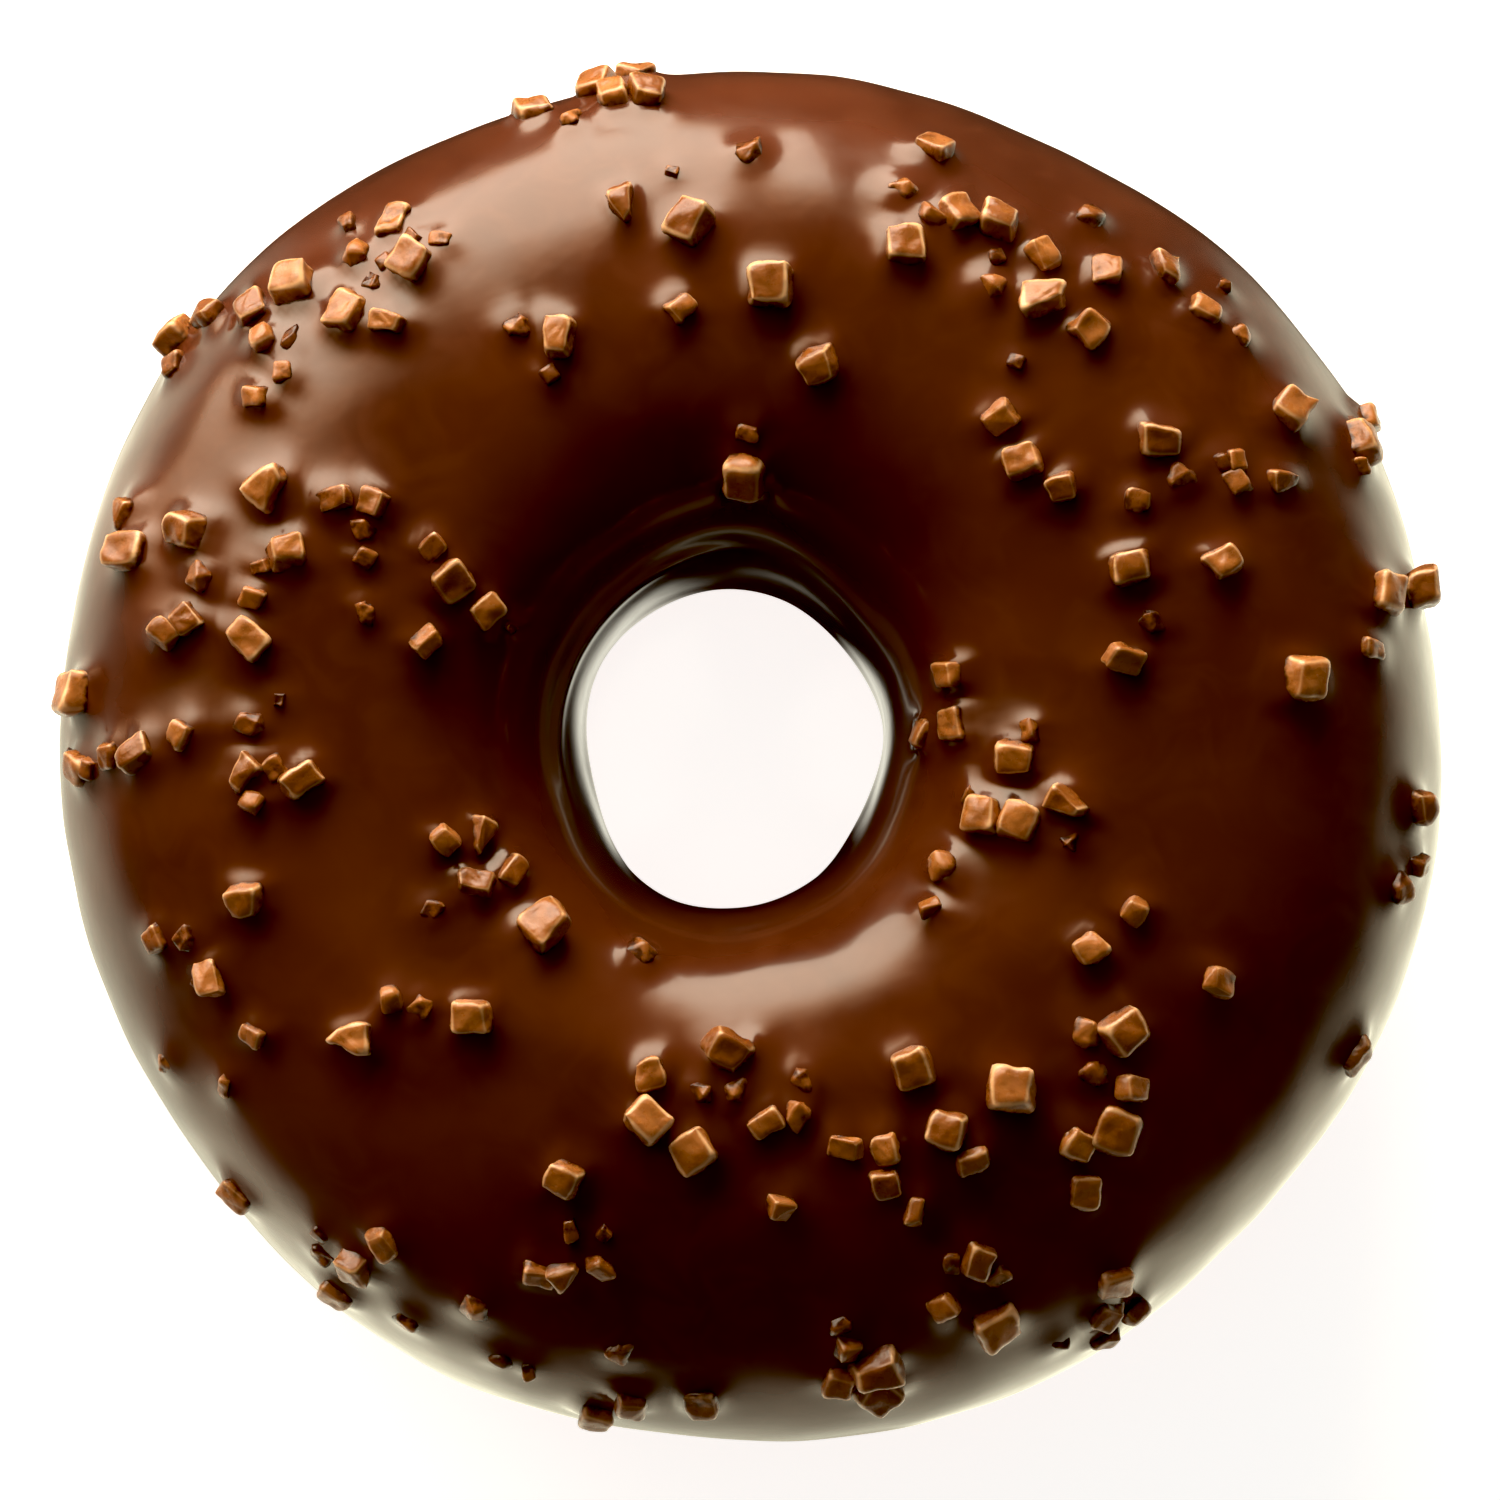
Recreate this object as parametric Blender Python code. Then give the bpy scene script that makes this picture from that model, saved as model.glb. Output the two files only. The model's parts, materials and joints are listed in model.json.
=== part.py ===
"""A ring doughnut: fried dough dipped in dark chocolate glaze, strewn with chopped fudge pieces.

Metres, +Z up. The doughnut rests on z = 0, with the middle of its outline over the origin.
The dough and the glaze are separate solids, and the fudge pieces are fused to the glaze they stuck to.
"""

import math
import random
from collections import namedtuple

import bmesh
import bpy
from mathutils import Matrix, Vector

MM = 0.001
HALF_TURN = math.pi

# The bare dough ring. Its section is widest at the waist, the crest leans towards the hole, and the
# outer shoulder between them is fuller than an ellipse.
OUTER_WAIST_RADIUS = 44.4 * MM
HOLE_WAIST_RADIUS = 11.95 * MM
WAIST_HEIGHT = 14.5 * MM
RISE_ABOVE_WAIST = 17.0 * MM
DROP_BELOW_WAIST = 16.5 * MM
CREST_LEAN = 3.5 * MM
SHOULDER = 1.0 * MM

# Uneven rising, as lobes round the ring: how many, how high, and the azimuth in degrees of one peak.
OUTER_LOBES = ((3, 0.40 * MM, 15), (4, 0.15 * MM, 45), (5, 0.15 * MM, 10), (7, 0.20 * MM, 36))
HOLE_LOBES = ((1, 1.35 * MM, 165), (2, 0.65 * MM, 82), (3, 0.15 * MM, 30))

# Gentle swells of the skin: waves round the ring, waves across it, height, and phase in degrees.
SWELLS = ((2, 1, 0.25 * MM, 40), (3, -2, 0.20 * MM, 200), (5, 2, 0.12 * MM, 110))

# The glaze and how far it ran, in degrees below the outer waist and past the hole's waist.
GLAZE_THICKNESS = 1.25 * MM
GLAZE_GAP = 0.30 * MM
GLAZE_LIP = 0.30 * MM
OUTER_EDGE_DEG = -20.0
HOLE_EDGE_DEG = 196.0
OUTER_EDGE_WAVES = ((4, 2.5, 20), (9, 1.8, 75), (17, 1.0, 5))
HOLE_EDGE_WAVES = ((2, 3.0, 60), (5, 2.0, 10))
BEAD_WIDTH_DEG = 9.0
BEAD_SWELL = 0.25
BEAD_SPREAD = 0.3

# Mesh fineness
AZIMUTH_STEPS = 60
DOUGH_STEPS = 25
GLAZE_OUTSIDE_STEPS = 19
GLAZE_INSIDE_STEPS = 15
EDGE_STEPS_DEG = (0.0, 1.5, 5.0)
CREASE_DEG = 35
SLOPE_STEP = math.radians(0.5)

# Fudge pieces. A handful is an azimuth and a turn across the ring in degrees, and how many fell there.
SEED = 73
HANDFULS = (
    (103, 34, 5), (99, 64, 4), (126, 50, 8), (143, 24, 4), (144, 50, 2), (122, 80, 2),
    (155, 78, 6), (164, 60, 6), (157, 107, 2), (181, 34, 5), (184, 68, 4), (207, 103, 4),
    (202, 44, 3), (222, 74, 4), (215, 33, 2), (234, 34, 5), (250, 36, 2), (252, 62, 4),
    (237, 118, 2), (259, 93, 7), (277, 82, 3), (261, 27, 4), (280, 31, 4), (290, 45, 2),
    (292, 73, 5), (316, 63, 6), (326, 80, 3), (315, 108, 2), (345, 106, 6), (9, 124, 3),
    (48, 90, 3), (26, 64, 7), (9, 80, 2), (10, 37, 4), (26, 28, 3), (43, 32, 2),
    (351, 27, 3), (303, 24, 3), (58, 58, 7), (70, 53, 4), (87, 82, 2), (88, 106, 2),
)
HANDFUL_SPREAD = 2.2 * MM
STRAY_PIECES = 7
STRAY_TURNS_DEG = (15.0, 125.0)
PIECE_TURNS_DEG = (12.0, 138.0)
PIECE_SINK = 0.75 * MM
MOST_SUNK = 0.42
CLOSEST = 0.84
MOST_TRIES = 60
TRIES_TO_DOUBLE_SPREAD = 12

# Each kind of piece: its share, length, breadth as a share of length, and height as a share of length.
Kind = namedtuple("Kind", "name share length breadth height lean_deg")
KINDS = (
    Kind("block", 0.42, (2.1, 3.2), (0.76, 1.00), (0.62, 0.84), 16),
    Kind("slab", 0.12, (2.2, 3.3), (0.60, 0.85), (0.42, 0.56), 26),
    Kind("wedge", 0.14, (2.3, 3.3), (0.75, 1.00), (0.55, 0.78), 18),
    Kind("nugget", 0.22, (2.0, 2.9), (0.70, 0.95), (0.62, 0.82), 18),
    Kind("chip", 0.10, (1.5, 2.2), (0.60, 0.95), (0.65, 0.90), 24),
)
CORNER_SHIFT = 0.11
TOP_TAPER = (0.84, 1.00)
WEDGE_NARROW = (0.30, 0.65)
NUGGET_POINTS = 9
NUGGET_REACH = (0.47, 0.62)
GOLDEN_ANGLE = math.radians(137.5)

# A piece of fudge: a point on the glaze, how wide it reaches, and its corners in the part's frame.
Piece = namedtuple("Piece", "place reach corners")


def lobes(azimuth, waves):
    """The sum of cosine waves round the ring."""
    return sum(height * math.cos(count * (azimuth - math.radians(peak))) for count, height, peak in waves)


def section(azimuth, turn):
    """Radius and height of the section. turn is 0 at the outer waist and half a turn at the hole's."""
    outer = OUTER_WAIST_RADIUS + lobes(azimuth, OUTER_LOBES)
    hole = HOLE_WAIST_RADIUS + lobes(azimuth, HOLE_LOBES)
    out, side = math.cos(turn), math.sin(turn)
    radius = (outer + hole) / 2 + (outer - hole) / 2 * out - CREST_LEAN * side**2
    rise = RISE_ABOVE_WAIST if side > 0 else DROP_BELOW_WAIST
    fuller = SHOULDER * (2 * out * side) ** 2 if out > 0 and side > 0 else 0.0
    return Vector((radius + fuller * out, WAIST_HEIGHT + rise * side + fuller * side))


def swell(azimuth, turn):
    """How far the skin swells out here."""
    return sum(
        height * math.cos(around * azimuth + across * turn + math.radians(phase))
        for around, across, height, phase in SWELLS
    )


def skin(azimuth, turn, lift):
    """The point that stands lift out from the dough, square to its section."""
    along = (section(azimuth, turn + SLOPE_STEP) - section(azimuth, turn - SLOPE_STEP)).normalized()
    out = lift + swell(azimuth, turn)
    radius, height = section(azimuth, turn) + out * Vector((along.y, -along.x))
    return Vector((radius * math.cos(azimuth), radius * math.sin(azimuth), height))


def glaze_edges(azimuth):
    """The turns at which the glaze ends, outside and in the hole."""
    outer = OUTER_EDGE_DEG + lobes(azimuth, OUTER_EDGE_WAVES)
    hole = HOLE_EDGE_DEG + lobes(azimuth, HOLE_EDGE_WAVES)
    return math.radians(outer), math.radians(hole)


def glaze_lift(azimuth, turn):
    """How far the glaze's outside stands off the dough: a rounded edge, with a thicker bead above it."""
    outer, hole = glaze_edges(azimuth)
    inward = max(0.0, min(turn - outer, hole - turn)) / math.radians(BEAD_WIDTH_DEG)
    rounding = math.sqrt(1 - (1 - min(2 * inward, 1)) ** 2)
    bead = 1 + BEAD_SWELL * math.exp(-((inward - 1) ** 2) / BEAD_SPREAD)
    return GLAZE_GAP + GLAZE_LIP + (GLAZE_THICKNESS - GLAZE_LIP) * bead * rounding


def glaze_point(azimuth, turn):
    """A point on the glaze's outside."""
    return skin(azimuth, turn, glaze_lift(azimuth, turn))


def glaze_frame(azimuth, turn):
    """Where the glaze's outside is, and which way it faces, as a matrix whose Z axis points out of it."""
    place = glaze_point(azimuth, turn)
    around = glaze_point(azimuth + SLOPE_STEP, turn) - glaze_point(azimuth - SLOPE_STEP, turn)
    across = glaze_point(azimuth, turn + SLOPE_STEP) - glaze_point(azimuth, turn - SLOPE_STEP)
    out = around.cross(across).normalized()
    around.normalize()
    axes = Matrix((around, out.cross(around), out)).transposed()
    return Matrix.Translation(place) @ axes.to_4x4()


def box_corners(rng, length, breadth, height):
    """A block's eight corners, a little off square, with a top smaller than its foot."""
    taper = rng.uniform(*TOP_TAPER)
    corners = []
    for x in (-1, 1):
        for y in (-1, 1):
            for z in (-1, 1):
                grow = taper if z > 0 else 1.0
                shift = Vector([rng.uniform(-CORNER_SHIFT, CORNER_SHIFT) for _ in range(3)])
                corner = Vector((x * grow, y * grow, z)) / 2 + shift
                corners.append(Vector((corner.x * length, corner.y * breadth, corner.z * height)))
    return corners


def wedge_corners(rng, length, breadth, height):
    """A block's corners, drawn in towards one end."""
    narrow = rng.uniform(*WEDGE_NARROW)
    corners = box_corners(rng, length, breadth, height)
    return [Vector((c.x, c.y * (narrow if c.x > 0 else 1.0), c.z)) for c in corners]


def nugget_corners(rng, length, breadth, height):
    """Points spread evenly over an egg shape, for a lump with no cut faces."""
    corners = []
    for index in range(NUGGET_POINTS):
        level = 1 - 2 * (index + 0.5) / NUGGET_POINTS
        ring = math.sqrt(1 - level**2)
        bearing = index * GOLDEN_ANGLE
        x, y = ring * math.cos(bearing) * length, ring * math.sin(bearing) * breadth
        corners.append(Vector((x, y, level * height)) * rng.uniform(*NUGGET_REACH))
    return corners


CORNER_RULES = {"wedge": wedge_corners, "nugget": nugget_corners}


def drop_piece(rng, kind, azimuth, turn):
    """One piece of fudge, lying on the glaze and sunk a little into it."""
    length = rng.uniform(*kind.length) * MM
    breadth = length * rng.uniform(*kind.breadth)
    height = length * rng.uniform(*kind.height)
    corners = CORNER_RULES.get(kind.name, box_corners)(rng, length, breadth, height)
    lean_x, lean_y = (math.radians(rng.uniform(-kind.lean_deg, kind.lean_deg)) for _ in range(2))
    spin = Matrix.Rotation(rng.uniform(0, 2 * HALF_TURN), 3, "Z")
    pose = spin @ Matrix.Rotation(lean_x, 3, "X") @ Matrix.Rotation(lean_y, 3, "Y")
    corners = [pose @ corner for corner in corners]
    foot = min(corner.z for corner in corners)
    raised = Vector((0, 0, -foot - min(PIECE_SINK, MOST_SUNK * height)))
    frame = glaze_frame(azimuth, turn)
    placed = [frame @ (corner + raised) for corner in corners]
    return Piece(frame.translation.copy(), (length + breadth) / 4, placed)


def pick_kind(rng):
    """A kind of piece, by their shares."""
    return rng.choices(KINDS, weights=[kind.share for kind in KINDS])[0]


def has_room(piece, others):
    """Whether the piece lies clear of the others, or touches them only slightly."""
    return all((piece.place - o.place).length > CLOSEST * (piece.reach + o.reach) for o in others)


def drop_near(rng, kind, azimuth, turn, pieces):
    """Drops a piece near a spot, further off with each try, until it has room."""
    low, high = (math.radians(degrees) for degrees in PIECE_TURNS_DEG)
    ring_radius, section_radius = section(azimuth, turn).x, RISE_ABOVE_WAIST
    for tries in range(MOST_TRIES):
        spread = HANDFUL_SPREAD * (1 + tries / TRIES_TO_DOUBLE_SPREAD)
        spot = azimuth + rng.gauss(0, spread) / ring_radius
        over = min(max(turn + rng.gauss(0, spread) / section_radius, low), high)
        piece = drop_piece(rng, kind, spot, over)
        if has_room(piece, pieces):
            pieces.append(piece)
            return


def scatter():
    """All the fudge pieces: handfuls that fell together, then strays spread over the rest."""
    rng = random.Random(SEED)
    pieces = []
    for azimuth_deg, turn_deg, count in HANDFULS:
        for _ in range(count):
            drop_near(rng, pick_kind(rng), math.radians(azimuth_deg), math.radians(turn_deg), pieces)
    stray_turns = [math.radians(degrees) for degrees in STRAY_TURNS_DEG]
    for index in range(STRAY_PIECES):
        kind = pick_kind(rng)
        for _ in range(MOST_TRIES):
            spot = 2 * HALF_TURN * (index + rng.random()) / STRAY_PIECES
            piece = drop_piece(rng, kind, spot, rng.uniform(*stray_turns))
            if has_room(piece, pieces):
                pieces.append(piece)
                break
    return pieces


def material(name, colour, roughness):
    """A plain Principled material."""
    made = bpy.data.materials.new(name)
    made.use_nodes = True
    shader = made.node_tree.nodes["Principled BSDF"]
    shader.inputs["Base Color"].default_value = (*colour, 1)
    shader.inputs["Roughness"].default_value = roughness
    shader.inputs["Metallic"].default_value = 0
    return made


def new_object(name, mesh, finish):
    """An object in the scene with its one material."""
    made = bpy.data.objects.new(name, mesh)
    bpy.context.scene.collection.objects.link(made)
    mesh.materials.append(finish)
    return made


def ring_mesh(name, loops):
    """A closed smooth mesh from section loops, one for each azimuth, all with the same number of points."""
    shape = bmesh.new()
    rows = [[shape.verts.new(point) for point in loop] for loop in loops]
    for index, row in enumerate(rows):
        following = rows[(index + 1) % len(rows)]
        for step in range(len(row)):
            ahead = (step + 1) % len(row)
            shape.faces.new((row[step], following[step], following[ahead], row[ahead]))
    bmesh.ops.triangulate(shape, faces=shape.faces)
    bmesh.ops.recalc_face_normals(shape, faces=shape.faces)
    mesh = bpy.data.meshes.new(name)
    shape.to_mesh(mesh)
    shape.free()
    mesh.shade_smooth()
    mesh.set_sharp_from_angle(angle=math.radians(CREASE_DEG))
    return mesh


def dough_loop(azimuth):
    """The dough's section at one azimuth, flat where it rests."""
    points = []
    for step in range(DOUGH_STEPS):
        point = skin(azimuth, 2 * HALF_TURN * step / DOUGH_STEPS, 0)
        point.z = max(point.z, 0.0)
        points.append(point)
    return points


def turns_between(low, high, steps):
    """Turns across the glaze, closer together at its two edges."""
    ends = [math.radians(degrees) for degrees in EDGE_STEPS_DEG]
    inner_low, inner_high = low + ends[-1], high - ends[-1]
    middle = [inner_low + (inner_high - inner_low) * step / steps for step in range(steps + 1)]
    return [low + end for end in ends[:-1]] + middle + [high - end for end in reversed(ends[:-1])]


def glaze_loop(azimuth):
    """The glaze's section at one azimuth: over its outside, then back along the dough."""
    low, high = glaze_edges(azimuth)
    outside = [glaze_point(azimuth, turn) for turn in turns_between(low, high, GLAZE_OUTSIDE_STEPS)]
    span = (high - low) / GLAZE_INSIDE_STEPS
    inside = [skin(azimuth, high - span * step, GLAZE_GAP) for step in range(GLAZE_INSIDE_STEPS + 1)]
    return outside + inside


def piece_mesh(piece):
    """A piece's corners, wrapped in flat faces."""
    shape = bmesh.new()
    for corner in piece.corners:
        shape.verts.new(corner)
    bmesh.ops.convex_hull(shape, input=shape.verts)
    inside = [corner for corner in shape.verts if not corner.link_faces]
    bmesh.ops.delete(shape, geom=inside, context="VERTS")
    bmesh.ops.recalc_face_normals(shape, faces=shape.faces)
    mesh = bpy.data.meshes.new("fudge_piece")
    shape.to_mesh(mesh)
    shape.free()
    return mesh


def fuse(host, pieces):
    """Joins the pieces to their host with one Boolean union, and removes the loose pieces."""
    loose = bpy.data.collections.new("fudge_pieces")
    bpy.context.scene.collection.children.link(loose)
    for piece in pieces:
        loose.objects.link(bpy.data.objects.new("fudge_piece", piece_mesh(piece)))
    union = host.modifiers.new("fuse", "BOOLEAN")
    union.operation = "UNION"
    union.operand_type = "COLLECTION"
    union.collection = loose
    union.solver = "EXACT"
    union.use_self = True
    graph = bpy.context.evaluated_depsgraph_get()
    fused = bpy.data.meshes.new_from_object(host.evaluated_get(graph))
    host.modifiers.clear()
    plain, host.data = host.data, fused
    fused.name = plain.name
    bpy.data.meshes.remove(plain)
    for item in list(loose.objects):
        bpy.data.meshes.remove(item.data)
    bpy.data.collections.remove(loose)


def build():
    """Clears the scene and makes the doughnut."""
    for item in list(bpy.data.objects):
        bpy.data.objects.remove(item)
    azimuths = [2 * HALF_TURN * step / AZIMUTH_STEPS for step in range(AZIMUTH_STEPS)]
    dough = ring_mesh("dough_ring", [dough_loop(azimuth) for azimuth in azimuths])
    new_object("dough_ring", dough, material("fried_dough", (0.56, 0.29, 0.10), 0.6))
    glaze = ring_mesh("chocolate_glaze", [glaze_loop(azimuth) for azimuth in azimuths])
    coat = new_object("chocolate_glaze", glaze, material("dark_chocolate", (0.075, 0.022, 0.006), 0.2))
    fuse(coat, scatter())


build()
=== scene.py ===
"""Dresses the sprinkle frosted doughnut: glossy chocolate glaze, waxy caramel fudge pieces and fried dough.

Metres, +Z up. The shapes are worked out by the same rules as the solids, only finer, so they lie in the same
place.
"""

import json
import math
import random
from collections import namedtuple

import bmesh
import bpy
from mathutils import Matrix, Vector, noise
from mathutils.bvhtree import BVHTree

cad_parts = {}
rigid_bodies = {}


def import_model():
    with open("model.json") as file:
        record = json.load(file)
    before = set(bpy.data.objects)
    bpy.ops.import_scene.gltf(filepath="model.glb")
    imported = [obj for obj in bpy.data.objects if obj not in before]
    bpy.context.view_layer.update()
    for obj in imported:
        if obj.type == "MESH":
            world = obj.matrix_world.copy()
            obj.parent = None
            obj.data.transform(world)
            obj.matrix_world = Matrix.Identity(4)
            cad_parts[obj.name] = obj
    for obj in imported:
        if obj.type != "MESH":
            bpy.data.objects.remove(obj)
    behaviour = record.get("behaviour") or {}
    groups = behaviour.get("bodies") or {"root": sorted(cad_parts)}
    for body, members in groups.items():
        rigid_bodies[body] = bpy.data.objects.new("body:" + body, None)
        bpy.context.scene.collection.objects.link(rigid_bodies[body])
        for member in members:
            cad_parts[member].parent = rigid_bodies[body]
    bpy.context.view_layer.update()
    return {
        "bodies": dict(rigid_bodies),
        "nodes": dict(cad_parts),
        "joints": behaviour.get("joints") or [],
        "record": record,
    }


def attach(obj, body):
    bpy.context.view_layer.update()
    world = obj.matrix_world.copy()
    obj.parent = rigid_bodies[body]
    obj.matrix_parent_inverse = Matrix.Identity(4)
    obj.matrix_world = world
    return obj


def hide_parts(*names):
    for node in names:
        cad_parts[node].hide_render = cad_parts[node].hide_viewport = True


MM = 0.001
HALF_TURN = math.pi

# The bare dough ring. Its section is widest at the waist, the crest leans towards the hole, and the
# outer shoulder between them is fuller than an ellipse.
OUTER_WAIST_RADIUS = 44.4 * MM
HOLE_WAIST_RADIUS = 11.95 * MM
WAIST_HEIGHT = 14.5 * MM
RISE_ABOVE_WAIST = 17.0 * MM
DROP_BELOW_WAIST = 16.5 * MM
CREST_LEAN = 3.5 * MM
SHOULDER = 1.0 * MM

# Uneven rising, as lobes round the ring: how many, how high, and the azimuth in degrees of one peak.
OUTER_LOBES = ((3, 0.40 * MM, 15), (4, 0.15 * MM, 45), (5, 0.15 * MM, 10), (7, 0.20 * MM, 36))
HOLE_LOBES = ((1, 1.35 * MM, 165), (2, 0.65 * MM, 82), (3, 0.15 * MM, 30))

# Gentle swells of the skin: waves round the ring, waves across it, height, and phase in degrees.
SWELLS = ((2, 1, 0.25 * MM, 40), (3, -2, 0.20 * MM, 200), (5, 2, 0.12 * MM, 110))

# The glaze and how far it ran, in degrees below the outer waist and past the hole's waist.
GLAZE_THICKNESS = 1.25 * MM
GLAZE_GAP = 0.30 * MM
GLAZE_LIP = 0.30 * MM
OUTER_EDGE_DEG = -20.0
HOLE_EDGE_DEG = 196.0
OUTER_EDGE_WAVES = ((4, 2.5, 20), (9, 1.8, 75), (17, 1.0, 5))
HOLE_EDGE_WAVES = ((2, 3.0, 60), (5, 2.0, 10))
BEAD_WIDTH_DEG = 9.0
BEAD_SWELL = 0.25
BEAD_SPREAD = 0.3
SLOPE_STEP = math.radians(0.5)

# Fudge pieces. A handful is an azimuth and a turn across the ring in degrees, and how many fell there.
SEED = 73
HANDFULS = (
    (103, 34, 5), (99, 64, 4), (126, 50, 8), (143, 24, 4), (144, 50, 2), (122, 80, 2),
    (155, 78, 6), (164, 60, 6), (157, 107, 2), (181, 34, 5), (184, 68, 4), (207, 103, 4),
    (202, 44, 3), (222, 74, 4), (215, 33, 2), (234, 34, 5), (250, 36, 2), (252, 62, 4),
    (237, 118, 2), (259, 93, 7), (277, 82, 3), (261, 27, 4), (280, 31, 4), (290, 45, 2),
    (292, 73, 5), (316, 63, 6), (326, 80, 3), (315, 108, 2), (345, 106, 6), (9, 124, 3),
    (48, 90, 3), (26, 64, 7), (9, 80, 2), (10, 37, 4), (26, 28, 3), (43, 32, 2),
    (351, 27, 3), (303, 24, 3), (58, 58, 7), (70, 53, 4), (87, 82, 2), (88, 106, 2),
)
HANDFUL_SPREAD = 2.2 * MM
STRAY_PIECES = 7
STRAY_TURNS_DEG = (15.0, 125.0)
PIECE_TURNS_DEG = (12.0, 138.0)
PIECE_SINK = 0.75 * MM
MOST_SUNK = 0.42
CLOSEST = 0.84
MOST_TRIES = 60
TRIES_TO_DOUBLE_SPREAD = 12

# Each kind of piece: its share, length, breadth as a share of length, and height as a share of length.
Kind = namedtuple("Kind", "name share length breadth height lean_deg")
KINDS = (
    Kind("block", 0.42, (2.1, 3.2), (0.76, 1.00), (0.62, 0.84), 16),
    Kind("slab", 0.12, (2.2, 3.3), (0.60, 0.85), (0.42, 0.56), 26),
    Kind("wedge", 0.14, (2.3, 3.3), (0.75, 1.00), (0.55, 0.78), 18),
    Kind("nugget", 0.22, (2.0, 2.9), (0.70, 0.95), (0.62, 0.82), 18),
    Kind("chip", 0.10, (1.5, 2.2), (0.60, 0.95), (0.65, 0.90), 24),
)
CRUMB = Kind("crumb", 0.0, (0.9, 2.2), (0.65, 1.00), (0.62, 0.90), 28)
CORNER_SHIFT = 0.11
TOP_TAPER = (0.84, 1.00)
WEDGE_NARROW = (0.30, 0.65)
NUGGET_POINTS = 9
NUGGET_REACH = (0.47, 0.62)
GOLDEN_ANGLE = math.radians(137.5)

# A piece of fudge: its kind, its frame on the glaze, how wide it reaches, and its corners.
Piece = namedtuple("Piece", "kind frame place reach corners")

# Mesh fineness
GLAZE_ROUND = 672
GLAZE_OUTSIDE = 118
GLAZE_INSIDE = 18
GLAZE_EDGE_DEG = (0.0, 0.35, 0.9, 1.8, 3.0, 4.4)
GLAZE_EASE_STEPS = 8
DOUGH_ROUND = 480
DOUGH_ACROSS = 170
FUDGE_CUTS = {"block": 7, "slab": 7, "wedge": 7, "nugget": 5, "chip": 5, "crumb": 4}
FUDGE_SMOOTHING = {"block": 7, "slab": 6, "wedge": 7, "nugget": 4, "chip": 4, "crumb": 3}

# The glaze's slow waves and fine ripples: size of one wave, and height.
GLAZE_WAVES = ((13.0 * MM, 0.22 * MM), (5.0 * MM, 0.10 * MM))
GLAZE_WAVE_SEED = 7.9

# A faint ridge where glaze pooled inside the hole: its turn, width and height, and where it runs.
RIDGE_TURN_DEG = 151.0
RIDGE_WIDTH_DEG = 3.2
RIDGE_HEIGHT = 0.20 * MM
RIDGE_AZIMUTH_DEG = 142.0
RIDGE_REACH_DEG = 52.0

# How the glaze climbs each piece.
CLIMB_HEIGHT = 0.65 * MM
CLIMB_SHARE = 0.50
CLIMB_REACH = 0.60 * MM
CLIMB_LIMIT = 3.0 * MM
CLIMB_EASING = 2
NEIGHBOURS_SHARE = 0.5

# Fudge faces: how uneven, how far they dish in, and how much wear counts as an edge.
FUDGE_LUMPS = ((1.2 * MM, 0.22 * MM), (0.6 * MM, 0.07 * MM))
FUDGE_SEEDS = (0, 50)
FUDGE_DISH = (0.0 * MM, 0.12 * MM)
FUDGE_EDGE = 0.06 * MM
CRUMBS = 44

# Dough: size and depth of its wrinkles and pits, and how far its skin is drawn in to make room for them.
DOUGH_WAVES = ((9.0 * MM, 0.22 * MM), (2.6 * MM, 0.08 * MM), (0.9 * MM, 0.03 * MM))
DOUGH_WAVE_SEED = 3.7
DOUGH_DRAWN_IN = 0.12 * MM

# Camera: where the photograph was taken from.
CAMERA_ELEVATION_DEG = 85.0
CAMERA_DISTANCE = 0.62
CAMERA_AIM = Vector((0.0, 0.0, 0.016))
VIEW_WIDTH = 99.8 * MM
SENSOR_WIDTH_MM = 36.0
CAMERA_CLIP = (0.05, 10.0)

# The window, and the fill lights that leave no reflection. Sizes and distances are in metres.
Softbox = namedtuple("Softbox", "name azimuth_deg elevation_deg distance width height power")
WINDOW = Softbox("window", 125, 23, 0.50, 1.02, 0.66, 13.2)
FILLS = (
    Softbox("window_fill", 98, 14, 0.60, 0.40, 0.40, 5.2),
    Softbox("ceiling", 90, 80, 0.90, 0.80, 0.80, 0.9),
)
SOFTBOX_AIM = Vector((0, 0, 0.015))
WINDOW_COLOUR = (1.0, 0.88, 0.72)
WINDOW_FRINGE = (1.0, 0.60, 0.30)

# How the window fades: an axis of its face, and where on it the light is out and full. Its right end is
# at X 0, and its top at Y 1.
WINDOW_FADES = (("X", 0.0, 0.03), ("X", 1.0, 0.50), ("Y", 0.0, 0.16), ("Y", 1.0, 0.62))

# How bright the dim room and its pale table are in reflections, and where the table's glow starts and is
# full: below the horizon, off the window's side, off the near side and off the left. These are parts of
# a unit arrow. Near and left, the glow falls no lower than a share of itself.
ROOM_COLOUR = (1.0, 0.96, 0.72)
ROOM_GLOW = 0.03
TABLE_GLOW = 1.50
TABLE_GLOW_NEAR = 0.45
TABLE_GLOW_LEFT = 0.60
TABLE_BELOW_HORIZON = (-0.08, -0.60)
TABLE_OFF_WINDOW = (0.86, 0.55)
TABLE_OFF_NEAR = (-0.99, -0.88)
TABLE_OFF_LEFT = (-0.97, -0.80)

# The floor: half its width, and the light of its own that makes it as white as the photograph's.
FLOOR_HALF = 3.0
FLOOR_OWN_LIGHT = 0.85

# How much is taken off red, green and blue, for the photograph's deep, warm shadows.
BLACK_LEVEL = (0.0062, 0.0084, 0.0112)

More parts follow.
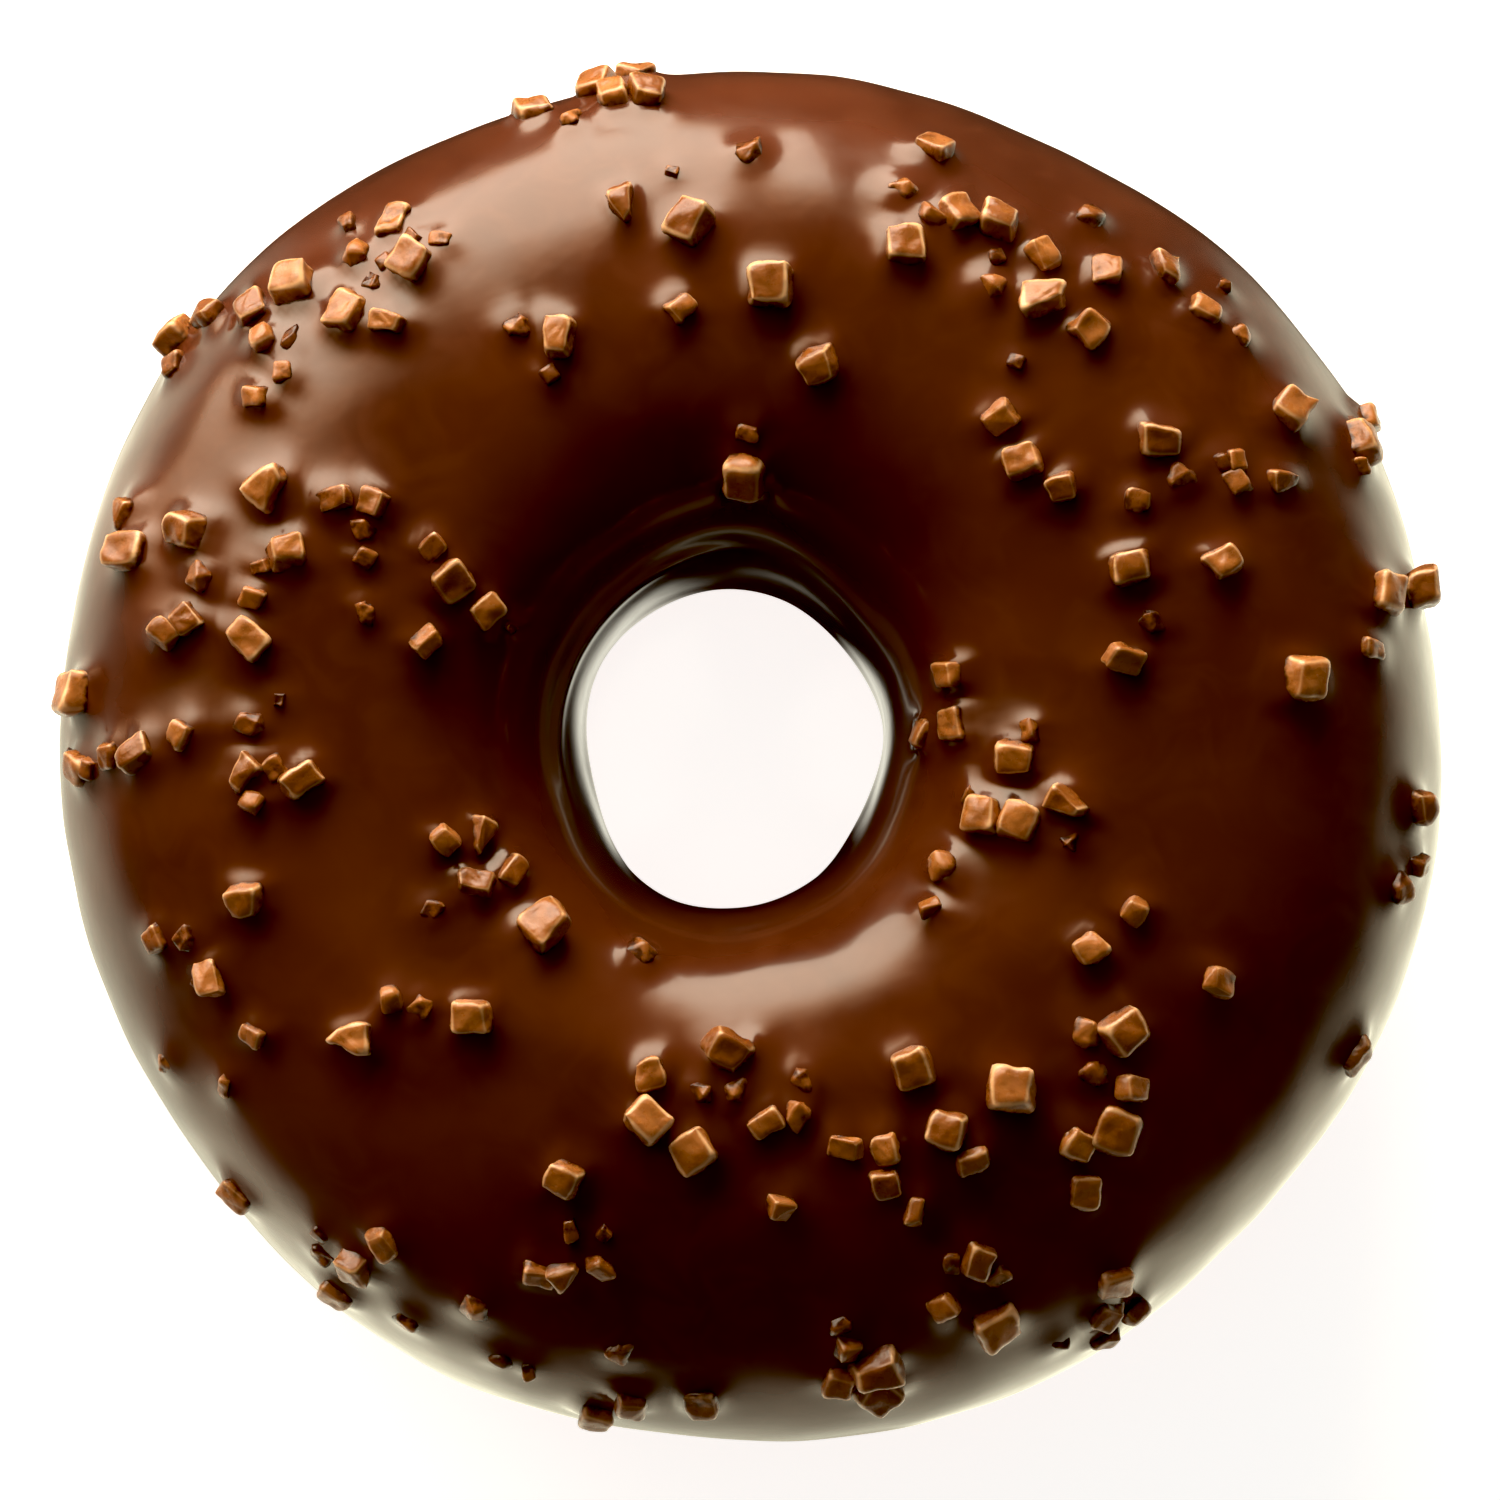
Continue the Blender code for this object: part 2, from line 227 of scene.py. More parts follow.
# Painted reflections in the hole: cards that only its walls reflect, a dark one at the floor that paints
# dark reflections, with two pale glowing patches that paint reflected light, and a small black one higher
# up. A patch is an azimuth, half its width and its softness, all in degrees. It lies between the radii
# where it is out and full, inside and outside.
CARD_PLACE = Vector((-0.75 * MM, 0.0, 0.5 * MM))
CARD_REACH = 16.5 * MM
CARD_STEPS = 96
CARD_PATCHES_DEG = ((14, 32, 14), (160, 52, 12))
CARD_PATCH_INSIDE = (1.5 * MM, 7.5 * MM)
CARD_PATCH_OUTSIDE = (11.5 * MM, 9.8 * MM)
CARD_GLOW = 1.1
DISC_PLACE = Vector((-0.8 * MM, 0.6 * MM, 7.0 * MM))
DISC_REACH = 4.2 * MM


def lobes(azimuth, waves):
    """The sum of cosine waves round the ring."""
    return sum(height * math.cos(count * (azimuth - math.radians(peak))) for count, height, peak in waves)


def section(azimuth, turn):
    """Radius and height of the section. turn is 0 at the outer waist and half a turn at the hole's."""
    outer = OUTER_WAIST_RADIUS + lobes(azimuth, OUTER_LOBES)
    hole = HOLE_WAIST_RADIUS + lobes(azimuth, HOLE_LOBES)
    out, side = math.cos(turn), math.sin(turn)
    radius = (outer + hole) / 2 + (outer - hole) / 2 * out - CREST_LEAN * side**2
    rise = RISE_ABOVE_WAIST if side > 0 else DROP_BELOW_WAIST
    fuller = SHOULDER * (2 * out * side) ** 2 if out > 0 and side > 0 else 0.0
    return Vector((radius + fuller * out, WAIST_HEIGHT + rise * side + fuller * side))


def swell(azimuth, turn):
    """How far the skin swells out here."""
    return sum(
        height * math.cos(around * azimuth + across * turn + math.radians(phase))
        for around, across, height, phase in SWELLS
    )


def skin(azimuth, turn, lift):
    """The point that stands lift out from the dough, square to its section."""
    along = (section(azimuth, turn + SLOPE_STEP) - section(azimuth, turn - SLOPE_STEP)).normalized()
    out = lift + swell(azimuth, turn)
    radius, height = section(azimuth, turn) + out * Vector((along.y, -along.x))
    return Vector((radius * math.cos(azimuth), radius * math.sin(azimuth), height))


def glaze_edges(azimuth):
    """The turns at which the glaze ends, outside and in the hole."""
    outer = OUTER_EDGE_DEG + lobes(azimuth, OUTER_EDGE_WAVES)
    hole = HOLE_EDGE_DEG + lobes(azimuth, HOLE_EDGE_WAVES)
    return math.radians(outer), math.radians(hole)


def glaze_lift(azimuth, turn):
    """How far the glaze's outside stands off the dough: a rounded edge, with a thicker bead above it."""
    outer, hole = glaze_edges(azimuth)
    inward = max(0.0, min(turn - outer, hole - turn)) / math.radians(BEAD_WIDTH_DEG)
    rounding = math.sqrt(1 - (1 - min(2 * inward, 1)) ** 2)
    bead = 1 + BEAD_SWELL * math.exp(-((inward - 1) ** 2) / BEAD_SPREAD)
    return GLAZE_GAP + GLAZE_LIP + (GLAZE_THICKNESS - GLAZE_LIP) * bead * rounding


def glaze_point(azimuth, turn):
    """A point on the glaze's outside."""
    return skin(azimuth, turn, glaze_lift(azimuth, turn))


def glaze_frame(azimuth, turn):
    """Where the glaze's outside is, and which way it faces, as a matrix whose Z axis points out of it."""
    place = glaze_point(azimuth, turn)
    around = glaze_point(azimuth + SLOPE_STEP, turn) - glaze_point(azimuth - SLOPE_STEP, turn)
    across = glaze_point(azimuth, turn + SLOPE_STEP) - glaze_point(azimuth, turn - SLOPE_STEP)
    out = around.cross(across).normalized()
    around.normalize()
    axes = Matrix((around, out.cross(around), out)).transposed()
    return Matrix.Translation(place) @ axes.to_4x4()


def box_corners(rng, length, breadth, height):
    """A block's eight corners, a little off square, with a top smaller than its foot."""
    taper = rng.uniform(*TOP_TAPER)
    corners = []
    for x in (-1, 1):
        for y in (-1, 1):
            for z in (-1, 1):
                grow = taper if z > 0 else 1.0
                shift = Vector([rng.uniform(-CORNER_SHIFT, CORNER_SHIFT) for _ in range(3)])
                corner = Vector((x * grow, y * grow, z)) / 2 + shift
                corners.append(Vector((corner.x * length, corner.y * breadth, corner.z * height)))
    return corners


def wedge_corners(rng, length, breadth, height):
    """A block's corners, drawn in towards one end."""
    narrow = rng.uniform(*WEDGE_NARROW)
    corners = box_corners(rng, length, breadth, height)
    return [Vector((c.x, c.y * (narrow if c.x > 0 else 1.0), c.z)) for c in corners]


def nugget_corners(rng, length, breadth, height):
    """Points spread evenly over an egg shape, for a lump with no cut faces."""
    corners = []
    for index in range(NUGGET_POINTS):
        level = 1 - 2 * (index + 0.5) / NUGGET_POINTS
        ring = math.sqrt(1 - level**2)
        bearing = index * GOLDEN_ANGLE
        x, y = ring * math.cos(bearing) * length, ring * math.sin(bearing) * breadth
        corners.append(Vector((x, y, level * height)) * rng.uniform(*NUGGET_REACH))
    return corners


CORNER_RULES = {"wedge": wedge_corners, "nugget": nugget_corners}


def drop_piece(rng, kind, azimuth, turn):
    """One piece of fudge, lying on the glaze and sunk a little into it."""
    length = rng.uniform(*kind.length) * MM
    breadth = length * rng.uniform(*kind.breadth)
    height = length * rng.uniform(*kind.height)
    corners = CORNER_RULES.get(kind.name, box_corners)(rng, length, breadth, height)
    lean_x, lean_y = (math.radians(rng.uniform(-kind.lean_deg, kind.lean_deg)) for _ in range(2))
    spin = Matrix.Rotation(rng.uniform(0, 2 * HALF_TURN), 3, "Z")
    pose = spin @ Matrix.Rotation(lean_x, 3, "X") @ Matrix.Rotation(lean_y, 3, "Y")
    corners = [pose @ corner for corner in corners]
    foot = min(corner.z for corner in corners)
    raised = Vector((0, 0, -foot - min(PIECE_SINK, MOST_SUNK * height)))
    frame = glaze_frame(azimuth, turn)
    placed = [frame @ (corner + raised) for corner in corners]
    return Piece(kind.name, frame, frame.translation.copy(), (length + breadth) / 4, placed)


def pick_kind(rng):
    """A kind of piece, by their shares."""
    return rng.choices(KINDS, weights=[kind.share for kind in KINDS])[0]


def has_room(piece, others):
    """Whether the piece lies clear of the others, or touches them only slightly."""
    return all((piece.place - o.place).length > CLOSEST * (piece.reach + o.reach) for o in others)


def drop_near(rng, kind, azimuth, turn, pieces):
    """Drops a piece near a spot, further off with each try, until it has room."""
    low, high = (math.radians(degrees) for degrees in PIECE_TURNS_DEG)
    ring_radius, section_radius = section(azimuth, turn).x, RISE_ABOVE_WAIST
    for tries in range(MOST_TRIES):
        spread = HANDFUL_SPREAD * (1 + tries / TRIES_TO_DOUBLE_SPREAD)
        spot = azimuth + rng.gauss(0, spread) / ring_radius
        over = min(max(turn + rng.gauss(0, spread) / section_radius, low), high)
        piece = drop_piece(rng, kind, spot, over)
        if has_room(piece, pieces):
            pieces.append(piece)
            return


def scatter():
    """All the fudge pieces: handfuls that fell together, strays over the rest, and then fine crumbs."""
    rng = random.Random(SEED)
    pieces = []
    for azimuth_deg, turn_deg, count in HANDFULS:
        for _ in range(count):
            drop_near(rng, pick_kind(rng), math.radians(azimuth_deg), math.radians(turn_deg), pieces)
    stray_turns = [math.radians(degrees) for degrees in STRAY_TURNS_DEG]
    for index in range(STRAY_PIECES):
        kind = pick_kind(rng)
        for _ in range(MOST_TRIES):
            spot = 2 * HALF_TURN * (index + rng.random()) / STRAY_PIECES
            piece = drop_piece(rng, kind, spot, rng.uniform(*stray_turns))
            if has_room(piece, pieces):
                pieces.append(piece)
                break
    for _ in range(CRUMBS):
        azimuth_deg, turn_deg, _ = rng.choice(HANDFULS)
        drop_near(rng, CRUMB, math.radians(azimuth_deg), math.radians(turn_deg), pieces)
    return pieces


def ripple(point, waves, seed):
    """Smooth noise at a point, as the sum of waves of a size and a height."""
    offset = Vector((seed, -seed, 2 * seed))
    return sum(height * noise.noise(point / size + offset) for size, height in waves)


def new_object(name, mesh, finish):
    """A piece of the scene, with its finish, riding on the doughnut."""
    made = bpy.data.objects.new(name, mesh)
    bpy.context.scene.collection.objects.link(made)
    mesh.materials.append(finish)
    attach(made, "root")
    return made


def ring_shape(loops):
    """A closed ring of quads from section loops, one for each azimuth, all with the same number of points."""
    shape = bmesh.new()
    rows = [[shape.verts.new(point) for point in loop] for loop in loops]
    for index, row in enumerate(rows):
        following = rows[(index + 1) % len(rows)]
        for step in range(len(row)):
            ahead = (step + 1) % len(row)
            shape.faces.new((row[step], following[step], following[ahead], row[ahead])).smooth = True
    bmesh.ops.recalc_face_normals(shape, faces=shape.faces)
    shape.normal_update()
    return shape


def store(shape, name):
    """The finished mesh."""
    mesh = bpy.data.meshes.new(name)
    shape.to_mesh(mesh)
    shape.free()
    return mesh


def turns_between(low, high, steps):
    """Turns across the glaze, closer together at its two edges."""
    ends = [math.radians(degrees) for degrees in GLAZE_EDGE_DEG]
    inner_low, inner_high = low + ends[-1], high - ends[-1]
    middle = [inner_low + (inner_high - inner_low) * step / steps for step in range(steps + 1)]
    return [low + end for end in ends[:-1]] + middle + [high - end for end in reversed(ends[:-1])]


def ridge(azimuth, turn):
    """How high the pooled ridge stands here."""
    across = (math.degrees(turn) - RIDGE_TURN_DEG) / RIDGE_WIDTH_DEG
    along = off_by(azimuth, RIDGE_AZIMUTH_DEG) / RIDGE_REACH_DEG
    return RIDGE_HEIGHT * math.exp(-(across**2) - along**4)


def glaze_loop(azimuth):
    """The glaze's section at one azimuth: over its outside, then back along the dough."""
    low, high = glaze_edges(azimuth)
    outside = [
        skin(azimuth, turn, glaze_lift(azimuth, turn) + ridge(azimuth, turn))
        for turn in turns_between(low, high, GLAZE_OUTSIDE)
    ]
    span = (high - low) / GLAZE_INSIDE
    inside = [skin(azimuth, high - span * step, GLAZE_GAP) for step in range(GLAZE_INSIDE + 1)]
    return outside + inside


def climb(point, out, tree, heights):
    """How far the glaze climbs here: all the way inside a piece of fudge, less with distance beside it."""
    nearest, _, face, distance = tree.find_nearest(point, CLIMB_LIMIT)
    if nearest is None:
        return 0.0
    hit, facing, hit_face, _ = tree.ray_cast(point, out, CLIMB_LIMIT)
    if hit is not None and facing.dot(out) > 0:
        return heights[hit_face]
    return heights[face] * math.exp(-distance / CLIMB_REACH)


def eased(lifts, row_length):
    """Lifts on a ring's grid, each blended with its four neighbours'."""
    count = len(lifts)
    smooth = []
    for index, lift in enumerate(lifts):
        start = index - index % row_length
        sides = (
            lifts[(index + row_length) % count], lifts[index - row_length],
            lifts[start + (index + 1) % row_length], lifts[start + (index - 1) % row_length],
        )
        smooth.append((1 - NEIGHBOURS_SHARE) * lift + NEIGHBOURS_SHARE / 4 * sum(sides))
    return smooth


def glaze_mesh(tree, heights):
    """The glaze, with its slow waves, and climbing the fudge pieces."""
    azimuths = [2 * HALF_TURN * step / GLAZE_ROUND for step in range(GLAZE_ROUND)]
    shape = ring_shape([glaze_loop(azimuth) for azimuth in azimuths])
    outside = GLAZE_OUTSIDE + 2 * len(GLAZE_EDGE_DEG) - 1
    row_length = outside + GLAZE_INSIDE + 1
    shape.verts.index_update()
    from_edge = [min(v.index % row_length, outside - 1 - v.index % row_length) for v in shape.verts]
    lifts = [
        climb(vert.co, vert.normal, tree, heights) if edge > 0 else 0.0
        for vert, edge in zip(shape.verts, from_edge)
    ]
    for _ in range(CLIMB_EASING):
        lifts = eased(lifts, row_length)
    moved = []
    for vert, edge, lift in zip(shape.verts, from_edge, lifts):
        ease = min(max(edge, 0) / GLAZE_EASE_STEPS, 1.0)
        moved.append(vert.co + vert.normal * ease * (lift + ripple(vert.co, GLAZE_WAVES, GLAZE_WAVE_SEED)))
    for vert, place in zip(shape.verts, moved):
        vert.co = place
    return store(shape, "chocolate_glaze_coat")


def dough_mesh():
    """The fried dough, with its wrinkles and pits, flat where it rests."""
    loops = []
    for index in range(DOUGH_ROUND):
        azimuth = 2 * HALF_TURN * index / DOUGH_ROUND
        loops.append([skin(azimuth, 2 * HALF_TURN * step / DOUGH_ACROSS, 0) for step in range(DOUGH_ACROSS)])
    shape = ring_shape(loops)
    moved = [
        vert.co + vert.normal * (ripple(vert.co, DOUGH_WAVES, DOUGH_WAVE_SEED) - DOUGH_DRAWN_IN)
        for vert in shape.verts
    ]
    for vert, place in zip(shape.verts, moved):
        place.z = max(place.z, 0.0)
        vert.co = place
    return store(shape, "fried_dough_ring")


def fudge_shape(piece, seed, dish):
    """One piece of fudge: its hull, cut fine, with rounded edges and uneven, slightly dished faces."""
    shape = bmesh.new()
    for corner in piece.corners:
        shape.verts.new(corner)
    bmesh.ops.convex_hull(shape, input=shape.verts)
    bmesh.ops.delete(shape, geom=[v for v in shape.verts if not v.link_faces], context="VERTS")
    cuts = FUDGE_CUTS[piece.kind]
    bmesh.ops.subdivide_edges(shape, edges=shape.edges, cuts=cuts, use_grid_fill=True)
    sharp = [vert.co.copy() for vert in shape.verts]
    for _ in range(FUDGE_SMOOTHING[piece.kind]):
        bmesh.ops.smooth_vert(
            shape, verts=shape.verts, factor=0.5, use_axis_x=True, use_axis_y=True, use_axis_z=True
        )
    bmesh.ops.recalc_face_normals(shape, faces=shape.faces)
    shape.normal_update()
    # How far smoothing moved each point. It marks the edges, for the dished faces and for the paler edge
    # colour, partly wear and partly painted highlight.
    edge_wear_and_highlight = [(vert.co - before).length for vert, before in zip(shape.verts, sharp)]
    moved = []
    for vert, edge_rounding in zip(shape.verts, edge_wear_and_highlight):
        sunk = dish * max(0.0, 1 - edge_rounding / FUDGE_EDGE)
        moved.append(vert.co + vert.normal * (ripple(vert.co, FUDGE_LUMPS, seed) - sunk))
    for vert, place in zip(shape.verts, moved):
        vert.co = place
    shape.verts.index_update()
    return shape, edge_wear_and_highlight


def fudge_meshes(pieces):
    """A mesh of all the pieces of each kind, with each point's tone, edge wear and painted highlight, and
    height above the glaze.

    Also returns what the glaze climbs: a tree of all the faces, and how far the glaze climbs each of them.
    """
    rng = random.Random(SEED + 1)
    meshes, climbed = {}, ([], [], [])
    for name in FUDGE_CUTS:
        verts, faces, tones, edge_wears_and_highlights, rises, climbs = [], [], [], [], [], []
        for piece in (p for p in pieces if p.kind == name):
            shape, edge_wear_and_highlight = fudge_shape(piece, rng.uniform(*FUDGE_SEEDS), rng.uniform(*FUDGE_DISH))
            start, tone = len(verts), rng.random()
            down = piece.frame.inverted()
            stands = [(down @ vert.co).z for vert in shape.verts]
            verts += [vert.co.copy() for vert in shape.verts]
            tones += [tone] * len(stands)
            edge_wears_and_highlights += [edge_rounding / MM for edge_rounding in edge_wear_and_highlight]
            rises += [stand / MM for stand in stands]
            faces += [[start + vert.index for vert in face.verts] for face in shape.faces]
            climbs += [min(CLIMB_HEIGHT, CLIMB_SHARE * max(*stands, 0.0))] * len(shape.faces)
            shape.free()
        mesh = bpy.data.meshes.new(f"fudge_{name}s")
        mesh.from_pydata(verts, [], faces)
        mesh.shade_smooth()
        for attribute, values in (("tone", tones), ("edge_wear_and_highlight", edge_wears_and_highlights), ("rise", rises)):
            mesh.attributes.new(attribute, "FLOAT", "POINT").data.foreach_set("value", values)
        meshes[name] = mesh
        offset = len(climbed[0])
        climbed[0].extend(verts)
        climbed[1].extend([offset + index for index in face] for face in faces)
        climbed[2].extend(climbs)
    return meshes, BVHTree.FromPolygons(climbed[0], climbed[1]), climbed[2]


class Nodes:
    """A material's node tree, written as short calls."""

    def __init__(self, name):
        self.material = bpy.data.materials.new(name)
        self.material.use_nodes = True
        self.tree = self.material.node_tree
        self.shader = self.tree.nodes["Principled BSDF"]
        self.place = self.new("ShaderNodeTexCoord").outputs["Object"]

    def new(self, kind, **settings):
        """A new node with its settings."""
        made = self.tree.nodes.new(kind)
        for key, value in settings.items():
            setattr(made, key, value)
        return made

    def link(self, source, socket):
        """Links a source to a socket, or sets the socket to a plain value."""
        if isinstance(source, bpy.types.NodeSocket):
            self.tree.links.new(source, socket)
        else:
            socket.default_value = source

    def noise(self, size, detail=3.0, roughness=0.5, distortion=0.0):
        """Noise whose waves are about size long, in metres."""
        made = self.new("ShaderNodeTexNoise")
        self.link(self.place, made.inputs["Vector"])
        made.inputs["Scale"].default_value = 1 / size
        made.inputs["Detail"].default_value = detail
        made.inputs["Roughness"].default_value = roughness
        made.inputs["Distortion"].default_value = distortion
        return made.outputs["Fac"]

    def cells(self, size):
        """Distance to the nearest of points about size apart."""
        made = self.new("ShaderNodeTexVoronoi")
        self.link(self.place, made.inputs["Vector"])
        made.inputs["Scale"].default_value = 1 / size
        return made.outputs["Distance"]

    def attribute(self, name):
        """A number kept on the mesh."""
        return self.new("ShaderNodeAttribute", attribute_name=name).outputs["Fac"]

    def range(self, value, low, high, to_low=0.0, to_high=1.0):
        """Maps a range to another, clamped and eased."""
        made = self.new("ShaderNodeMapRange", interpolation_type="SMOOTHSTEP")
        self.link(value, made.inputs["Value"])
        for socket, number in zip(("From Min", "From Max", "To Min", "To Max"), (low, high, to_low, to_high)):
            made.inputs[socket].default_value = number
        return made.outputs["Result"]

    def math(self, operation, first, second=0.0):
        """One sum of two numbers."""
        made = self.new("ShaderNodeMath", operation=operation)
        self.link(first, made.inputs[0])
        self.link(second, made.inputs[1])
        return made.outputs[0]

    def mix(self, factor, first, second):
        """A blend of two colours."""
        made = self.new("ShaderNodeMix", data_type="RGBA")
        self.link(factor, made.inputs["Factor"])
        self.link(first if not isinstance(first, tuple) else (*first, 1), made.inputs[6])
        self.link(second if not isinstance(second, tuple) else (*second, 1), made.inputs[7])
        return made.outputs[2]

    def height(self):
        """How high this point is, in metres."""
        made = self.new("ShaderNodeSeparateXYZ")
        self.link(self.place, made.inputs[0])
        return made.outputs["Z"]

    def bump(self, height, distance, strength=1.0, under=None):
        """A bump of a height map, distance deep at full height."""
        made = self.new("ShaderNodeBump")
        made.inputs["Strength"].default_value = strength
        made.inputs["Distance"].default_value = distance
        self.link(height, made.inputs["Height"])
        if under:
            self.link(under, made.inputs["Normal"])
        return made.outputs["Normal"]

    def finish(self, colour, roughness, normal, **constants):
        """Wires up the shader and returns the material."""
        self.link(colour, self.shader.inputs["Base Color"])
        self.link(roughness, self.shader.inputs["Roughness"])
        self.link(normal, self.shader.inputs["Normal"])
        for name, value in constants.items():
            self.shader.inputs[name.replace("_", " ")].default_value = value
        return self.material


def chocolate():
    """Dark chocolate glaze: glossy, with a warm sheen, faint streaks and dull patches."""
    m = Nodes("dark_chocolate_glaze")
    patches = m.range(m.noise(16 * MM, 2.0, 0.5, 0.6), 0.35, 0.70)
    colour = m.mix(patches, (0.064, 0.0160, 0.0078), (0.096, 0.0255, 0.0120))
    streaks = m.range(m.noise(3.5 * MM, 2.0, 0.5, 1.2), 0.35, 0.75, 0.0, 0.35)
    colour = m.mix(streaks, colour, (0.110, 0.032, 0.0145))
    roughness = m.range(m.noise(6 * MM, 4.0, 0.6, 0.8), 0.3, 0.7, 0.16, 0.26)
    normal = m.bump(m.noise(2.2 * MM, 2.0), 0.03 * MM, 1.0)
    return m.finish(
        colour, roughness, normal, IOR=1.5, Specular_Tint=(1.0, 0.84, 0.68, 1.0),
        Coat_Weight=0.60, Coat_Roughness=0.09, Coat_IOR=1.45,
    )


def fudge():
    """Chopped caramel fudge: waxy and grainy, its edges painted paler, partly wear and partly painted
    highlight, and its foot painted darker, partly glaze stain and partly painted shade.
    """
    m = Nodes("caramel_fudge")
    tone, edge_wear_and_highlight, rise = m.attribute("tone"), m.attribute("edge_wear_and_highlight"), m.attribute("rise")
    colour = m.mix(tone, (0.21, 0.066, 0.015), (0.43, 0.160, 0.042))
    colour = m.mix(m.range(m.noise(1.1 * MM, 3.0), 0.40, 0.70, 0.0, 0.50), colour, (0.13, 0.036, 0.008))
    # Painted highlight: edges are made paler, partly as wear and partly standing in for light glinting on
    # them.
    colour = m.mix(m.range(edge_wear_and_highlight, 0.10, 0.32, 0.0, 0.75), colour, (0.86, 0.54, 0.28))
    # Painted shade: darker towards the foot, partly a glaze stain and partly shade where the piece meets the
    # glaze.
    stain_and_shade = m.math("ADD", rise, m.range(m.noise(0.6 * MM, 2.0), 0.3, 0.7, -0.25, 0.25))
    colour = m.mix(m.range(stain_and_shade, 0.95, 0.30), colour, (0.050, 0.012, 0.004))
    roughness = m.range(m.noise(0.8 * MM, 3.0), 0.3, 0.7, 0.22, 0.36)
    grains = m.bump(m.noise(0.34 * MM, 2.0, 0.5), 0.035 * MM, 0.8)
    normal = m.bump(m.noise(0.9 * MM, 2.0), 0.10 * MM, 0.7, grains)
    return m.finish(
        colour, roughness, normal, IOR=1.50, Coat_Weight=0.30, Coat_Roughness=0.18, Coat_IOR=1.45,
        Subsurface_Weight=0.15, Subsurface_Radius=(1.0, 0.40, 0.12), Subsurface_Scale=0.4 * MM,
    )


def dough():
    """Fried dough: golden brown below, a paler band at the waist, with a fine blistered skin."""
    m = Nodes("fried_dough_crust")
    height = m.height()
    band = m.math("MULTIPLY", m.range(height, 4.5 * MM, 8.5 * MM), m.range(height, 15.0 * MM, 11.0 * MM))
    browned = m.mix(m.range(m.noise(9 * MM, 4.0, 0.6), 0.3, 0.7), (0.30, 0.105, 0.026), (0.20, 0.062, 0.015))
    colour = m.mix(m.math("MULTIPLY", band, 0.7), browned, (0.50, 0.255, 0.085))
    spots = m.range(m.noise(1.3 * MM, 3.0, 0.6), 0.58, 0.75, 0.0, 0.5)
    colour = m.mix(spots, colour, (0.15, 0.047, 0.012))
    pits = m.range(m.cells(1.5 * MM), 0.0, 0.30)
    # Painted shade: darker in the pits.
    colour = m.mix(m.range(pits, 1.0, 0.0, 0.0, 0.45), colour, (0.14, 0.045, 0.013))
    roughness = m.range(m.noise(2 * MM, 3.0), 0.3, 0.7, 0.48, 0.68)
    skin_bump = m.bump(m.noise(0.45 * MM, 4.0, 0.65), 0.08 * MM, 0.8)
    normal = m.bump(pits, 0.12 * MM, 0.5, skin_bump)
    return m.finish(
        colour, roughness, normal, IOR=1.45,
        Subsurface_Weight=0.12, Subsurface_Radius=(1.0, 0.5, 0.2), Subsurface_Scale=1.0 * MM,
    )


def table():
    """A plain pale table top, with a light of its own."""
    m = Nodes("pale_table")
    colour = m.mix(m.range(m.noise(60 * MM, 2.0), 0.3, 0.7), (0.86, 0.86, 0.85), (0.90, 0.90, 0.89))
    normal = m.bump(m.noise(0.6 * MM, 2.0), 0.01 * MM, 0.5)
    return m.finish(
        colour, 0.6, normal, IOR=1.45, Emission_Color=(1, 1, 1, 1), Emission_Strength=FLOOR_OWN_LIGHT
    )


def direction(azimuth_deg, elevation_deg):
    """A unit arrow from the doughnut towards that azimuth and elevation."""
    azimuth, elevation = math.radians(azimuth_deg), math.radians(elevation_deg)
    flat = math.cos(elevation)
    return Vector((flat * math.cos(azimuth), flat * math.sin(azimuth), math.sin(elevation)))


def aimed(name, data, place, target):
    """An object at a place whose -Z axis points at the target."""
    made = bpy.data.objects.new(name, data)
    made.location = place
    made.rotation_euler = (target - place).to_track_quat("-Z", "Y").to_euler()
    bpy.context.scene.collection.objects.link(made)
    return made


def add_softbox(box):
    """A rectangular soft light aimed at the doughnut."""
    data = bpy.data.lights.new(box.name, "AREA")
    data.shape = "RECTANGLE"
    data.size, data.size_y = box.width, box.height
    data.energy = box.power
    data.color = WINDOW_COLOUR
    place = direction(box.azimuth_deg, box.elevation_deg) * box.distance
    return aimed(box.name, data, place, SOFTBOX_AIM)


def product_of_ranges(tree, ranges):
    """The product of numbers that each ease from their lowest value up to 1 over a range of their source."""
    product = None
    for source, (low, high), lowest in ranges:
        part = tree.nodes.new("ShaderNodeMapRange")
        part.interpolation_type = "SMOOTHSTEP"
        part.inputs["From Min"].default_value, part.inputs["From Max"].default_value = low, high
        part.inputs["To Min"].default_value = lowest
        tree.links.new(source, part.inputs["Value"])
        if product is None:
            product = part.outputs["Result"]
            continue
        both = tree.nodes.new("ShaderNodeMath")
        both.operation = "MULTIPLY"
        tree.links.new(product, both.inputs[0])
        tree.links.new(part.outputs["Result"], both.inputs[1])
        product = both.outputs[0]
    return product


def fade_edges(light):
    """Lets the window fade towards its edges, warmer as it fades."""
    light.use_nodes = True
    tree = light.node_tree
    glow = tree.nodes["Emission"]
    split = tree.nodes.new("ShaderNodeSeparateXYZ")
    tree.links.new(tree.nodes.new("ShaderNodeNewGeometry").outputs["Parametric"], split.inputs[0])
    fades = [(split.outputs[axis], (out, full), 0.0) for axis, out, full in WINDOW_FADES]
    strength = product_of_ranges(tree, fades)
    tree.links.new(strength, glow.inputs["Strength"])
    warmth = tree.nodes.new("ShaderNodeMix")
    warmth.data_type = "RGBA"
    warmth.inputs[6].default_value, warmth.inputs[7].default_value = (*WINDOW_FRINGE, 1), (1, 1, 1, 1)
    tree.links.new(strength, warmth.inputs["Factor"])
    tree.links.new(warmth.outputs[2], glow.inputs["Color"])


